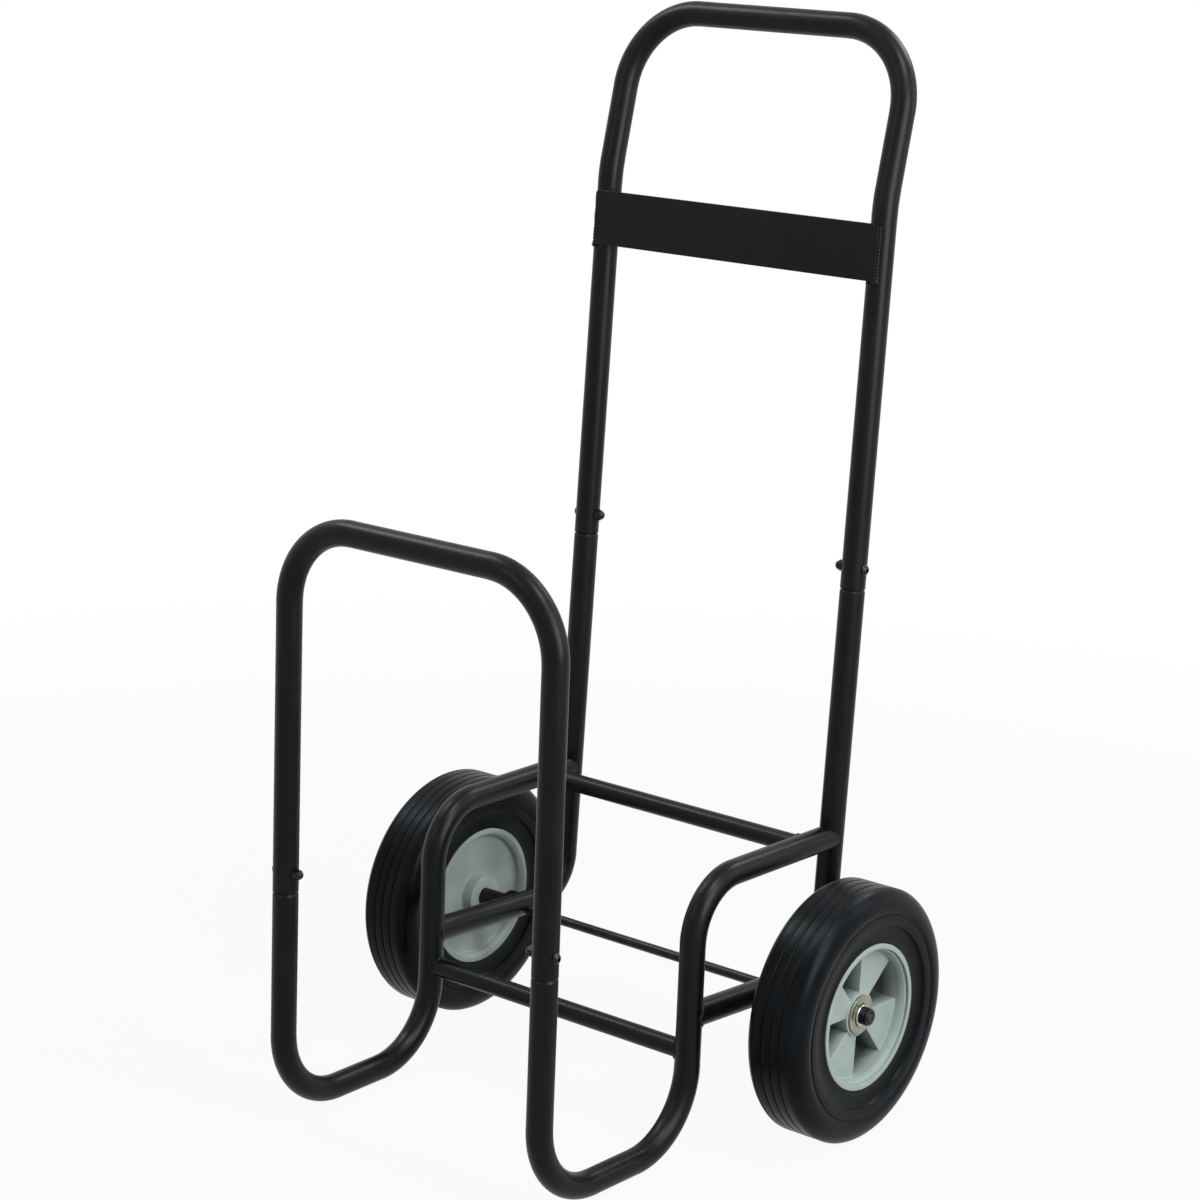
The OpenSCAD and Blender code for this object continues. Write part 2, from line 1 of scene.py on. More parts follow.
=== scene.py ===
import json
import math
import bmesh
import bpy
import numpy as np
from mathutils import Matrix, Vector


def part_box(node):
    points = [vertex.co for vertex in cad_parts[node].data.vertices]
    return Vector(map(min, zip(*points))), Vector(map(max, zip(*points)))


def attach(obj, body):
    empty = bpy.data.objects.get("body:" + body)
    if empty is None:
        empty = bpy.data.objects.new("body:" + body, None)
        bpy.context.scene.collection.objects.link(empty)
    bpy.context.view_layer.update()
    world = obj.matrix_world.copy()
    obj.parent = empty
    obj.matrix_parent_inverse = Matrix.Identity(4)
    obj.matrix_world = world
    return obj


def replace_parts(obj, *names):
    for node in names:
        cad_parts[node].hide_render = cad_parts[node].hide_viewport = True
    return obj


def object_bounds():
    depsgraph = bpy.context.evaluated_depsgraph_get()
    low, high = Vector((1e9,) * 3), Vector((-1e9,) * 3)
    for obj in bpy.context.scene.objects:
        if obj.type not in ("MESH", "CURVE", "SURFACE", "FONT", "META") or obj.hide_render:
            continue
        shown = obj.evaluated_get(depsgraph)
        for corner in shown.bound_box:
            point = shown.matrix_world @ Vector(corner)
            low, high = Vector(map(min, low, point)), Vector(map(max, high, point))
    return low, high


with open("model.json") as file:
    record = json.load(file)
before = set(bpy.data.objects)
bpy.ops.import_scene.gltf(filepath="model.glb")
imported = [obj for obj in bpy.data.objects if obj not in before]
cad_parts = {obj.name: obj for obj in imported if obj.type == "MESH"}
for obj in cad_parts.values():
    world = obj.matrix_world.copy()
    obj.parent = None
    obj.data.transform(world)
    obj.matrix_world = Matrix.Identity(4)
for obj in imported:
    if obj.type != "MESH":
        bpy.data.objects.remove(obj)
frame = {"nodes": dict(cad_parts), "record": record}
cadBounds = [[float(v) for v in corner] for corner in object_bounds()]
print("cart frame loaded:", len(frame["nodes"]), "nodes")

mm = 0.001
nodes = frame["nodes"]

# the camera stands where the photograph was taken from
view = {
    "azimuth": 38.56,  # degrees round from the front, towards the right wheel
    "elevation": 13.74,
    "roll": 2.22,
    "aim": (0.0201, -0.0138, 0.5155),
    "distance": 2.9047,
    "focalPixels": 3037.0,
    "framePixels": 1200,
    "sensor": 36.0,
    "clipEnd": 100,
}


# unit direction from azimuth and elevation: (sin a cos e, -cos a cos e, sin e)
def directionTo(azimuth, elevation):
    return np.array([
        math.sin(azimuth) * math.cos(elevation),
        -math.cos(azimuth) * math.cos(elevation),
        math.sin(elevation),
    ])


# the camera backs away from its aim along that direction; its level right and up axes then turn
# about the line of sight by the roll
def placeCamera():
    azimuth, elevation, roll = (math.radians(view[k]) for k in ("azimuth", "elevation", "roll"))
    back = directionTo(azimuth, elevation)
    level = np.cross(-back, (0, 0, 1))
    level /= np.linalg.norm(level)
    upright = np.cross(level, -back)
    right = level * math.cos(roll) + upright * math.sin(roll)
    up = upright * math.cos(roll) - level * math.sin(roll)
    place = np.array(view["aim"]) + back * view["distance"]
    lens = bpy.data.cameras.new("photoCamera")
    lens.sensor_width = view["sensor"]
    lens.lens = view["focalPixels"] / view["framePixels"] * view["sensor"]
    lens.clip_end = view["clipEnd"]
    camera = bpy.data.objects.new("photoCamera", lens)
    bpy.context.scene.collection.objects.link(camera)
    turn = np.eye(4)
    turn[:3, 0], turn[:3, 1], turn[:3, 2], turn[:3, 3] = right, up, back, place
    camera.matrix_world = Matrix(turn.tolist())
    bpy.context.scene.camera = camera


placeCamera()
print("camera placed")

tyreLow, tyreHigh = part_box("tyre_right")
hubLow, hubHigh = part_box("hub_right")
wheelX, axisY, axisZ = ((tyreLow[i] + tyreHigh[i]) / 2 for i in range(3))
print("wheel found at", round(wheelX, 4), round(axisY, 4), round(axisZ, 4))


# one shader node, with its properties and the fixed values of its sockets
def addNode(tree, kind, at, settings=None, **properties):
    node = tree.nodes.new(kind)
    node.location = at
    for key, value in properties.items():
        setattr(node, key, value)
    for key, value in (settings or {}).items():
        node.inputs[key].default_value = value
    return node


# an empty node group with named float inputs, each with its start value, and named outputs
def newGroup(name, inputs, outputs):
    group = bpy.data.node_groups.new(name, "ShaderNodeTree")
    for socket, start in inputs.items():
        made = group.interface.new_socket(socket, in_out="INPUT", socket_type="NodeSocketFloat")
        made.default_value = start
    for socket in outputs:
        group.interface.new_socket(socket, in_out="OUTPUT", socket_type="NodeSocketFloat")
    entry = addNode(group, "NodeGroupInput", (-900, 0))
    leave = addNode(group, "NodeGroupOutput", (700, 0))
    return group, entry.outputs, leave.inputs


# a group placed in a material with the values that the material wants
def useGroup(tree, group, at, **values):
    node = addNode(tree, "ShaderNodeGroup", at, node_tree=group)
    for key, value in values.items():
        node.inputs[key].default_value = value
    return node.outputs


# colour = first where the mask is 0 and second where it is 1; first may be another node's colour
def mixColours(tree, mask, first, second, at):
    node = addNode(tree, "ShaderNodeMix", at, data_type="RGBA")
    for place, colour in ((6, first), (7, second)):
        if isinstance(colour, tuple):
            node.inputs[place].default_value = (*colour, 1)
        else:
            tree.links.new(colour, node.inputs[place])
    tree.links.new(mask, node.inputs[0])
    return node.outputs[2]


# value = low + mask times (high - low)
def spread(tree, mask, low, high, at):
    node = addNode(tree, "ShaderNodeMapRange", at, {"To Min": low, "To Max": high})
    tree.links.new(mask, node.inputs["Value"])
    return node.outputs["Result"]


# the surface's normal follows a height, with a strength and a depth in metres
def bumpFrom(tree, shader, height, strength, depth, at):
    node = addNode(tree, "ShaderNodeBump", at, {"Strength": strength, "Distance": depth})
    tree.links.new(height, node.inputs["Height"])
    tree.links.new(node.outputs["Normal"], shader.inputs["Normal"])


# fine skin of a surface: a coarse noise and one 3.7 times finer, mixed by the share "Fine"
def buildGrain():
    group, entry, leave = newGroup("fineGrain", {"Scale": 900.0, "Fine": 0.4}, ["Height"])
    where = addNode(group, "ShaderNodeTexCoord", (-900, 250))
    finer = addNode(group, "ShaderNodeMath", (-650, -150), {1: 3.7}, operation="MULTIPLY")
    group.links.new(entry["Scale"], finer.inputs[0])
    coarse = addNode(group, "ShaderNodeTexNoise", (-400, 150), {"Detail": 2.0, "Roughness": 0.5})
    fine = addNode(group, "ShaderNodeTexNoise", (-400, -150), {"Detail": 3.0, "Roughness": 0.6})
    for noise, scale in ((coarse, entry["Scale"]), (fine, finer.outputs[0])):
        group.links.new(where.outputs["Object"], noise.inputs["Vector"])
        group.links.new(scale, noise.inputs["Scale"])
    blend = addNode(group, "ShaderNodeMix", (-100, 50))
    group.links.new(entry["Fine"], blend.inputs[0])
    group.links.new(coarse.outputs["Fac"], blend.inputs[2])
    group.links.new(fine.outputs["Fac"], blend.inputs[3])
    group.links.new(blend.outputs[0], leave["Height"])
    return group


# handling marks and thin dust: soft patches of the size "Size" in metres, where a noise rises from
# 0.85 less "Cover" through the next 0.35
def buildFilm():
    group, entry, leave = newGroup("thinFilm", {"Size": 0.05, "Cover": 0.5}, ["Mask"])
    where = addNode(group, "ShaderNodeTexCoord", (-900, 250))
    scale = addNode(group, "ShaderNodeMath", (-650, 0), {0: 1.0}, operation="DIVIDE")
    group.links.new(entry["Size"], scale.inputs[1])
    noise = addNode(group, "ShaderNodeTexNoise", (-400, 100), {
        "Detail": 4.0, "Roughness": 0.55, "Distortion": 0.3})
    group.links.new(where.outputs["Object"], noise.inputs["Vector"])
    group.links.new(scale.outputs[0], noise.inputs["Scale"])
    low = addNode(group, "ShaderNodeMath", (-400, -200), {0: 0.85}, operation="SUBTRACT")
    group.links.new(entry["Cover"], low.inputs[1])
    high = addNode(group, "ShaderNodeMath", (-200, -300), {1: 0.35}, operation="ADD")
    group.links.new(low.outputs[0], high.inputs[0])
    mask = addNode(group, "ShaderNodeMapRange", (50, 0), interpolation_type="SMOOTHSTEP")
    group.links.new(noise.outputs["Fac"], mask.inputs["Value"])
    group.links.new(low.outputs[0], mask.inputs["From Min"])
    group.links.new(high.outputs[0], mask.inputs["From Max"])
    group.links.new(mask.outputs["Result"], leave["Mask"])
    return group


# turned or moulded rings round the wheels' axis: a zigzag of the distance from that axis, one ring
# to each pitch
def buildRings():
    start = {"Pitch": 0.002, "AxisY": 0.1, "AxisZ": 0.13}
    group, entry, leave = newGroup("axisRings", start, ["Wave"])
    where = addNode(group, "ShaderNodeTexCoord", (-900, 250))
    split = addNode(group, "ShaderNodeSeparateXYZ", (-700, 250))
    group.links.new(where.outputs["Object"], split.inputs[0])
    centre = addNode(group, "ShaderNodeCombineXYZ", (-700, 0))
    point = addNode(group, "ShaderNodeCombineXYZ", (-500, 250))
    group.links.new(split.outputs["Y"], point.inputs["Y"])
    group.links.new(split.outputs["Z"], point.inputs["Z"])
    group.links.new(entry["AxisY"], centre.inputs["Y"])
    group.links.new(entry["AxisZ"], centre.inputs["Z"])
    away = addNode(group, "ShaderNodeVectorMath", (-300, 150), operation="DISTANCE")
    group.links.new(point.outputs[0], away.inputs[0])
    group.links.new(centre.outputs[0], away.inputs[1])
    turns = addNode(group, "ShaderNodeMath", (-100, 100), operation="DIVIDE")
    group.links.new(away.outputs["Value"], turns.inputs[0])
    group.links.new(entry["Pitch"], turns.inputs[1])
    wave = addNode(group, "ShaderNodeMath", (100, 100), {1: 0.5}, operation="PINGPONG")
    group.links.new(turns.outputs[0], wave.inputs[0])
    group.links.new(wave.outputs[0], leave["Wave"])
    return group


fineGrain = buildGrain()
thinFilm = buildFilm()
axisRings = buildRings()

# each finish gives its shader's fixed values, the colours and the roughness that its film runs
# between, the film's patches in metres, and the strength and depth of its bump
powderCoat = {
    "shader": {"Specular IOR Level": 0.14, "Specular Tint": (0.93, 0.98, 1, 1)},
    "colours": ((0.0014, 0.0015, 0.0017), (0.0029, 0.0032, 0.0036)), "rough": (0.33, 0.39),
    "patch": 0.06, "cover": 0.5, "grain": 1100.0, "fine": 0.35, "bump": (0.3, 0.0001),
}
blackSteel = {
    "shader": {"Metallic": 0.5, "Specular IOR Level": 0.3},
    "colours": ((0.008, 0.008, 0.009), (0.017, 0.016, 0.016)), "rough": (0.26, 0.38),
    "patch": 0.008, "cover": 0.5, "grain": 2400.0, "fine": 0.5, "bump": (0.25, 0.00006),
}
turnedMetal = {
    "shader": {"Metallic": 1.0}, "patch": 0.012, "cover": 0.55,
    "pitch": 0.0007, "bump": (0.2, 0.00005),
}
yellowZinc = {
    **turnedMetal, "colours": ((0.24, 0.26, 0.21), (0.33, 0.33, 0.235)), "rough": (0.24, 0.36)}
brightZinc = {
    **turnedMetal, "colours": ((0.42, 0.43, 0.43), (0.52, 0.52, 0.51)), "rough": (0.12, 0.24)}
bushSteel = {
    **turnedMetal, "colours": ((0.50, 0.50, 0.51), (0.58, 0.58, 0.58)), "rough": (0.30, 0.42)}


# a material whose colour and roughness each run between their two ends by the film's mask
def startFinish(name, finish):
    material = bpy.data.materials.new(name)
    material.use_nodes = True
    tree = material.node_tree
    shader = tree.nodes["Principled BSDF"]
    for key, value in finish["shader"].items():
        shader.inputs[key].default_value = value
    film = useGroup(tree, thinFilm, (-1100, 300), Size=finish["patch"], Cover=finish["cover"])
    colour = mixColours(tree, film["Mask"], *finish["colours"], (-700, 250))
    rough = spread(tree, film["Mask"], *finish["rough"], (-500, 0))
    tree.links.new(colour, shader.inputs["Base Color"])
    tree.links.new(rough, shader.inputs["Roughness"])
    return material, tree, shader, colour


# a finish whose bump is the fine grain
def makeGrained(name, finish):
    material, tree, shader, _ = startFinish(name, finish)
    skin = useGroup(tree, fineGrain, (-900, -200), Scale=finish["grain"], Fine=finish["fine"])
    bumpFrom(tree, shader, skin["Height"], *finish["bump"], (-300, -250))
    return material


# a finish whose bump is the rings that turning leaves
def makeTurned(name, finish):
    material, tree, shader, _ = startFinish(name, finish)
    rings = useGroup(tree, axisRings, (-900, -200), Pitch=finish["pitch"], AxisY=axisY, AxisZ=axisZ)
    bumpFrom(tree, shader, rings["Wave"], *finish["bump"], (-300, -250))
    return material


tyreRubber = {
    "shader": {"Specular IOR Level": 0.07, "Specular Tint": (0.8, 0.93, 1, 1),
               "Sheen Weight": 0.02, "Sheen Roughness": 0.5, "Sheen Tint": (0.75, 0.87, 1, 1)},
    "colours": ((0.0016, 0.0016, 0.0017), (0.0038, 0.0046, 0.0056)), "rough": (0.29, 0.38),
    "patch": 0.045, "cover": 0.5, "grain": 700.0, "fine": 0.45,
    "pitch": 0.0011, "ringShare": 0.25, "bump": (0.35, 0.0002),
}


# the bloom turns the rubber a little blue; its bump is the grain and a share of the mould's rings
def makeRubber(name, finish):
    material, tree, shader, _ = startFinish(name, finish)
    skin = useGroup(tree, fineGrain, (-1100, 0), Scale=finish["grain"], Fine=finish["fine"])
    rings = useGroup(tree, axisRings, (-1100, -300), Pitch=finish["pitch"],
                     AxisY=axisY, AxisZ=axisZ)
    height = addNode(tree, "ShaderNodeMath", (-700, -150), {1: finish["ringShare"]},
                     operation="MULTIPLY_ADD")
    tree.links.new(rings["Wave"], height.inputs[0])
    tree.links.new(skin["Height"], height.inputs[2])
    bumpFrom(tree, shader, height.outputs[0], *finish["bump"], (-300, -250))
    return material


# distances outboard of the wheel's middle are in metres
hubPlastic = {
    "shader": {"Specular IOR Level": 0.16},
    "colours": ((0.252, 0.304, 0.294), (0.282, 0.338, 0.325)), "rough": (0.38, 0.48),
    "patch": 0.03, "cover": 0.5, "grain": 1500.0, "fine": 0.5, "bump": (0.25, 0.00008),
    # painted shade in the pockets: its colour, how much of it shows, and the depths where it starts
    # and where it is full
    "pocketShadeColour": (0.036, 0.048, 0.047), "pocketShadeShare": 0.9,
    "pocketShadeFrom": 0.013, "pocketShadeTo": -0.002, "pocketsEnd": -0.016,
}


# painted shade: the plastic's colour darkens with depth in the pockets, down to their floors but
# not behind them, standing in for the shade that falls in those recesses
def makeHubPlastic(name, finish):
    material, tree, shader, unshadedColour = startFinish(name, finish)
    skin = useGroup(tree, fineGrain, (-900, -200), Scale=finish["grain"], Fine=finish["fine"])
    where = addNode(tree, "ShaderNodeTexCoord", (-1500, 500))
    split = addNode(tree, "ShaderNodeSeparateXYZ", (-1300, 500))
    tree.links.new(where.outputs["Object"], split.inputs[0])
    outward = addNode(tree, "ShaderNodeMath", (-1100, 500), operation="ABSOLUTE")
    tree.links.new(split.outputs["X"], outward.inputs[0])
    deep = addNode(tree, "ShaderNodeMapRange", (-900, 500), {
        "From Min": wheelX + finish["pocketShadeFrom"], "From Max": wheelX + finish["pocketShadeTo"],
        "To Min": 0.0, "To Max": finish["pocketShadeShare"]})
    tree.links.new(outward.outputs[0], deep.inputs["Value"])
    front = addNode(tree, "ShaderNodeMath", (-900, 800), {1: wheelX + finish["pocketsEnd"]},
                    operation="GREATER_THAN")
    tree.links.new(outward.outputs[0], front.inputs[0])
    pocket = addNode(tree, "ShaderNodeMath", (-700, 600), operation="MULTIPLY")
    tree.links.new(deep.outputs["Result"], pocket.inputs[0])
    tree.links.new(front.outputs[0], pocket.inputs[1])
    # the pockets' painted shade is mixed over the unshaded plastic colour
    colour = mixColours(tree, pocket.outputs[0], unshadedColour, finish["pocketShadeColour"], (-500, 250))
    tree.links.new(colour, shader.inputs["Base Color"])
    bumpFrom(tree, shader, skin["Height"], *finish["bump"], (-300, -250))
    return material


materials = {
    "powder_coat": makeGrained("powderCoat", powderCoat),
    "black_steel": makeGrained("blackSteel", blackSteel),
    "yellow_zinc": makeTurned("yellowZinc", yellowZinc),
    "bright_zinc": makeTurned("brightZinc", brightZinc),
    "tyre_rubber": makeRubber("tyreRubber", tyreRubber),
    "hub_plastic": makeHubPlastic("hubPlastic", hubPlastic),
    "bush_steel": makeTurned("bushSteel", bushSteel),
}
for part in frame["record"]["subparts"]:
    body = nodes[part["node"]].data
    body.materials.clear()
    body.materials.append(materials[part["material_slot"]])
print("materials made:", len(materials))


# grids of points become quads between neighbours; columns wrap round, and rows too when the rows
# are closed, or else both ends get a flat cap
def gridsToPiece(name, grids, slot, ride, closedRows=True, sharpAngle=None):
    points, faces, start = [], [], 0
    for grid in grids:
        rows, columns = grid.shape[:2]
        steps = rows if closedRows else rows - 1
        i, j = np.meshgrid(np.arange(steps), np.arange(columns), indexing="ij")
        nextRow, nextColumn = (i + 1) % rows, (j + 1) % columns
        around = np.stack([i * columns + j, nextRow * columns + j,
                           nextRow * columns + nextColumn, i * columns + nextColumn], -1)
        faces += (around.reshape(-1, 4) + start).tolist()
        if not closedRows:
            faces += [(np.arange(columns) + start).tolist(),
                      (np.arange(columns)[::-1] + start + (rows - 1) * columns).tolist()]
        points.append(grid.reshape(-1, 3))
        start += rows * columns
    mesh = bpy.data.meshes.new(name)
    mesh.from_pydata(np.concatenate(points).tolist(), [], faces)
    work = bmesh.new()
    work.from_mesh(mesh)
    bmesh.ops.recalc_face_normals(work, faces=work.faces)
    work.to_mesh(mesh)
    work.free()
    mesh.shade_smooth()
    if sharpAngle:
        mesh.set_sharp_from_angle(angle=math.radians(sharpAngle))
    mesh.materials.append(materials[slot])
    piece = bpy.data.objects.new(name, mesh)
    bpy.context.scene.collection.objects.link(piece)
    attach(piece, ride)
    return piece


# a closed outline from corners of (radius, distance out, ease): each corner becomes a parabola
# that starts its ease before the corner and ends its ease after it, at most a share of each side
def easedOutline(corners, steps, share=0.45):
    corners = np.asarray(corners, float)
    corners, ease = corners[:, :2], corners[:, 2:]
    before = np.roll(corners, 1, 0) - corners
    after = np.roll(corners, -1, 0) - corners
    lengths = [np.linalg.norm(v, axis=1, keepdims=True) for v in (before, after)]
    start = corners + before / lengths[0] * np.minimum(ease, share * lengths[0])
    end = corners + after / lengths[1] * np.minimum(ease, share * lengths[1])
    k = np.linspace(0, 1, steps)[None, :, None]
    curve = (1 - k) ** 2 * start[:, None] + 2 * k * (1 - k) * corners[:, None]
    curve += k ** 2 * end[:, None]
    return curve.reshape(-1, 2)


# a wheel part's points from their radius, distance outboard and angle up from the rear, in metres
def onWheel(radius, out, angle, side):
    x = side * (wheelX + out)
    y = axisY + side * radius * np.cos(angle)
    z = axisZ + radius * np.sin(angle)
    return np.stack(np.broadcast_arrays(x, y, z), -1)


# angles of a full turn in equal steps, as one row
def fullTurn(columns):
    return np.linspace(0, 2 * np.pi, columns, endpoint=False)[None, :]


# distances in millimetres, from the axle or from the middle of the wheel, and angles in degrees
tyreShape = {
    "treadHalf": 21.5, "grooveWidth": 2.0, "grooveDepth": 1.5, "edgeGrooveDepth": 0.6,
    "bulge": 107.5, "band": 92.0, "bandStep": 3.6, "sideFall": 1.2,
    "fineGroove": 102.5, "fineGrooveDepth": 1.3, "shoulderTurn": 76.0,
    "lipGap": 0.2, "lipProud": 1.0, "hollow": 2.0, "seatUnderLip": 4.5, "lipThick": 3.5,
    "crisp": 0.3, "lipEase": 0.5, "hollowEase": 6.0, "bandFootEase": 0.4, "bandEase": 0.7,
    "bulgeEase": 1.5, "shoulderEase": 9.0, "grooveEase": 0.25, "grooveFloorEase": 0.2,
    "columns": 256, "steps": 4, "shoulderSteps": 8, "sharp": 50,
}


# the tyre's section turned round the axle: seat, bead, hollow, raised band with its fine groove,
# elliptic shoulder, and a tread with V grooves; the inner half mirrors the outer one
def makeTyre(side, hand):
    t = tyreShape
    treadR = (tyreHigh[2] - tyreLow[2]) / 2 / mm
    half = (tyreHigh[0] - tyreLow[0]) / 2 / mm
    lipR = (hubHigh[2] - hubLow[2]) / 2 / mm
    lipOut = (hubHigh[0] - wheelX) / mm
    seat = lipR - t["seatUnderLip"] + t["lipGap"]
    bead = lipOut - t["lipThick"] - t["lipGap"]
    lipEdge = lipR + t["lipGap"]
    bandFace = half - t["sideFall"]
    ringFace = half - t["sideFall"] / 2
    rise = treadR - t["bulge"]
    corners = [
        (seat, bead, t["crisp"]), (lipEdge, bead, t["crisp"]),
        (lipEdge, lipOut - t["lipProud"], t["lipEase"]),
        (lipEdge + (t["band"] - lipEdge) / 3, lipOut - t["hollow"], t["hollowEase"]),
        (t["band"] - t["bandStep"] / 3, bandFace - t["bandStep"], t["bandFootEase"]),
        (t["band"], bandFace, t["bandEase"]),
        (t["fineGroove"] - t["fineGrooveDepth"], ringFace, t["crisp"]),
        (t["fineGroove"], ringFace - t["fineGrooveDepth"], t["grooveFloorEase"]),
        (t["fineGroove"] + t["fineGrooveDepth"], ringFace, t["crisp"]),
        (t["bulge"], half, t["bulgeEase"]),
    ]
    last = math.radians(t["shoulderTurn"])
    turns = last * np.arange(1, t["shoulderSteps"]) / t["shoulderSteps"]
    radii = t["bulge"] + rise * np.sin(turns) / math.sin(last)
    across = half - (half - t["treadHalf"]) * (1 - np.cos(turns)) / (1 - math.cos(last))
    corners += [(r, z, t["shoulderEase"]) for r, z in zip(radii, across)]
    pitch = (2 * t["treadHalf"] - t["grooveWidth"]) / 4
    for k, depth in ((2, t["edgeGrooveDepth"]), (1, t["grooveDepth"]), (0, t["grooveDepth"])):
        corners += [(treadR, k * pitch + t["grooveWidth"] / 2, t["grooveEase"]),
                    (treadR - depth, k * pitch, t["grooveFloorEase"]),
                    (treadR, k * pitch - t["grooveWidth"] / 2, t["grooveEase"])]
    outer = np.array(corners[:-1])  # the middle groove's floor is the last corner kept
    inner = outer[:-1][::-1] * (1, -1, 1)
    outline = easedOutline(np.concatenate([outer, inner]), t["steps"]) * mm
    grid = onWheel(outline[:, :1], outline[:, 1:], fullTurn(t["columns"]), side)
    return gridsToPiece(hand + "Tyre", [grid], "tyre_rubber", "wheel_" + hand,
                        sharpAngle=t["sharp"])


for side, hand in ((-1, "left"), (1, "right")):
    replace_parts(makeTyre(side, hand), "tyre_" + hand)
print("tyres made")


# distances in millimetres, from the axle or outboard of the wheel's middle, and angles in degrees
hubShape = {
    "seatUnderLip": 4.5, "rimWall": 4.0, "lipFace": 5.0, "lipThick": 3.5, "lipEdge": 1.4,
    "undercut": 0.7, "slope": 5.0, "face": 14.0, "pocket": 28.0, "web": 4.0,
    "boss": 22.0, "bossOut": 16.0, "bore": 9.05,
    "spokes": 4, "spokeShare": 0.53, "spokeAngle": 64.0,
    "fillet": 1.2, "draft": 1.0, "edgeRound": 0.7, "wallRadius": 64.5,
    "round": 0.5, "crisp": 0.3, "slopeEase": 0.8, "rimEase": 2.0, "webEase": 1.5,
    "spokeColumns": 16, "pocketColumns": 14, "filletSteps": 5, "faceRows": 12,
    "frontSteps": 5, "backSteps": 4, "sharp": 40,
}


# angles of the grid's columns and how deep the pockets are at each, from 0 on a spoke to 1 on a
# pocket's floor: the spoke's edge is a quarter circle, the wall leans by its draft, and a fillet
# joins the floor
def pocketColumns():
    h = hubShape
    pitch = 2 * np.pi / h["spokes"]
    halfSpoke = h["spokeShare"] * pitch / 2
    turn = np.linspace(0, np.pi / 2, h["filletSteps"])
    edgeAt = h["edgeRound"] * np.sin(turn)
    edgeDeep = h["edgeRound"] * (1 - np.cos(turn)) / h["pocket"]
    footAt = h["edgeRound"] + h["draft"] + h["fillet"] * (1 - np.cos(turn))
    footDeep = 1 - h["fillet"] / h["pocket"] * (1 - np.sin(turn))
    away = np.concatenate([edgeAt, footAt]) / h["wallRadius"]
    deep = np.concatenate([edgeDeep, footDeep])
    spoke = np.linspace(0, halfSpoke, h["spokeColumns"] // 2 + 1)[1:-1]
    floor = np.linspace(halfSpoke + away[-1], pitch / 2, h["pocketColumns"] // 2 + 1)[1:-1]
    rising = np.concatenate([spoke, halfSpoke + away, floor])
    depth = np.concatenate([np.zeros(len(spoke)), deep, np.ones(len(floor))])
    angles = np.concatenate([[0], rising, [pitch / 2], pitch - rising[::-1]])
    depths = np.concatenate([[0], depth, [1], depth[::-1]])
    whole = np.concatenate([angles + k * pitch for k in range(h["spokes"])])
    return whole + math.radians(h["spokeAngle"]), np.tile(depths, h["spokes"])


# the hub as one closed skin: rows run from the bore over the boss, across the spokes' face, up the
# rim to the lip, and back behind; the face drops into the pockets where a column says so
def makeHub(side, hand):
    h = hubShape
    e, crisp = h["round"], h["crisp"]
    lipR = (hubHigh[2] - hubLow[2]) / 2 / mm
    half = (hubHigh[0] - wheelX) / mm
    bossIn = (wheelX - hubLow[0]) / mm
    seat = lipR - h["seatUnderLip"]
    rim = seat - h["rimWall"]
    lipIn = lipR - h["lipFace"]
    lipBack = half - h["lipThick"]
    step = lipIn + h["undercut"]
    webBack = h["face"] - h["pocket"] - h["web"]
    angles, deep = pocketColumns()
    turn = np.linspace(0, np.pi / 2, h["filletSteps"])
    rise = h["fillet"] * (1 - np.sin(turn))
    shift = h["fillet"] * (1 - np.cos(turn))
    flat = np.linspace(h["boss"] + h["fillet"], rim - h["fillet"], h["faceRows"])[1:-1]
    faceR = np.concatenate([h["boss"] + shift, flat, (rim - shift)[::-1]])
    faceUp = np.concatenate([rise, np.zeros(len(flat)), rise[::-1]])
    front = [(h["bore"], 0, e), (h["bore"], h["bossOut"], e),
             (h["boss"], h["bossOut"], e), (h["boss"], 0, e)]
    back = [
        (rim, 0, e), (rim, lipBack - h["slope"], h["rimEase"]),
        ((lipIn + rim) / 2, lipBack, h["slopeEase"]), (step, lipBack, crisp),
        (step, half - h["lipEdge"], crisp), (lipIn, half - h["lipEdge"], crisp),
        (lipIn, half, e), (lipR, half, e), (lipR, lipBack, crisp), (seat, lipBack, crisp),
        (seat, -lipBack, crisp), (lipR, -lipBack, crisp), (lipR, -half, e), (lipIn, -half, e),
        (rim, -lipBack, h["rimEase"]), (rim, webBack, h["webEase"]),
        (h["boss"], webBack, h["webEase"]), (h["boss"], -bossIn, e), (h["bore"], -bossIn, e),
        (h["bore"], 0, e)]
    # the first and last corners only close each outline, so their curves are cut off
    cutFront, cutBack = h["frontSteps"], h["backSteps"]
    frontCurve = easedOutline(front, cutFront)[cutFront:-cutFront] * mm
    backCurve = easedOutline(back, cutBack)[cutBack:-cutBack] * mm
    frontRows, backRows = (onWheel(curve[:, :1], curve[:, 1:], angles[None, :], side)
                           for curve in (frontCurve, backCurve))
    faceOut = h["face"] + faceUp[:, None] - h["pocket"] * deep[None, :]
    faceRows = onWheel(faceR[:, None] * mm, faceOut * mm, angles[None, :], side)
    grid = np.concatenate([frontRows, faceRows, backRows])
    return gridsToPiece(hand + "Hub", [grid], "hub_plastic", "wheel_" + hand,
                        sharpAngle=h["sharp"])


for side, hand in ((-1, "left"), (1, "right")):
    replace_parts(makeHub(side, hand), "hub_" + hand)
print("hubs made")


